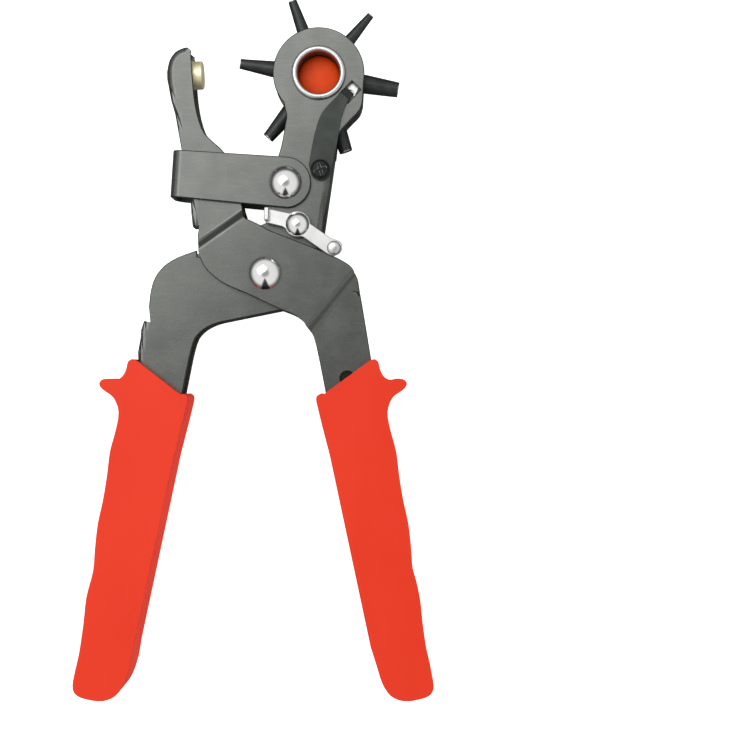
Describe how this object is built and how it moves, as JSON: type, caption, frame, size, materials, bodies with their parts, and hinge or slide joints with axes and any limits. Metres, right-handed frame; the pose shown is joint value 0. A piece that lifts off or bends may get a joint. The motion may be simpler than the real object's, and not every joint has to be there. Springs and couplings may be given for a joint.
{
  "type": "rotary hole punch",
  "caption": "Hand punch for leather and belts: crossed sheet-steel levers, a turning head of punch tubes, a brass anvil, a guide strap, a lock latch and red grips.",
  "frame": {"origin": "centre of the main pivot rivet's flat rear head, in the plane the tool lies on", "axes": "+X to the right seen from the front, +Y from the handles to the jaws, +Z from the table to the front face"},
  "size_m": [0.118, 0.2317, 0.0241],
  "materials": {
    "painted_steel": "satin dark grey paint on pressed sheet",
    "red_grip": "smooth satin red sleeve",
    "orange_core": "satin orange-red plastic",
    "chrome_rivet": "bright plated",
    "zinc_latch": "bright zinc plate",
    "plain_steel": "drawn bright steel",
    "dark_steel": "blackened spring steel",
    "black_steel": "black oxide",
    "brass_anvil": "turned, satin"
  },
  "bodies": {
    "punch_side": {"punch_lever": "painted_steel", "left_grip": "red_grip", "guide_strap": "painted_steel", "pivot_rivet": "chrome_rivet", "strap_rivet": "chrome_rivet", "latch_rivet": "chrome_rivet", "latch_collar": "zinc_latch", "pivot_bush": "plain_steel", "strap_spacer": "plain_steel", "return_spring": "plain_steel", "hub_eyelet": "chrome_rivet", "hub_disc": "orange_core", "detent_spring": "dark_steel", "detent_screw": "black_steel"},
    "anvil_side": {"anvil_lever": "painted_steel", "right_grip": "red_grip", "anvil": "brass_anvil"},
    "wheel": {"turret_wheel": "plain_steel", "punch_tube_2_0": "black_steel", "punch_tube_2_5": "black_steel", "punch_tube_3_0": "black_steel", "punch_tube_3_5": "black_steel", "punch_tube_4_0": "black_steel", "punch_tube_4_5": "black_steel"},
    "latch": {"lock_latch": "zinc_latch", "latch_tab": "zinc_latch", "latch_knob": "chrome_rivet"}
  },
  "joints": [
    {"name": "squeeze", "type": "hinge", "parent": "punch_side", "child": "anvil_side", "pos_m": [0, 0, 0.0108], "axis": [0, 0, -1], "range_deg": [0, 9.9], "stiffness_Nm_per_rad": 0.8, "springref_deg": -20.05, "deforming": ["return_spring"]},
    {"name": "wheel_turn", "type": "hinge", "parent": "punch_side", "child": "wheel", "pos_m": [0.0176, 0.0659, 0.0108], "axis": [0, 0, 1], "continuous": true},
    {"name": "latch_swing", "type": "hinge", "parent": "punch_side", "child": "latch", "pos_m": [0.0108, 0.0158, 0.0212], "axis": [0, 0, -1], "range_deg": [0, 20]}
  ]
}
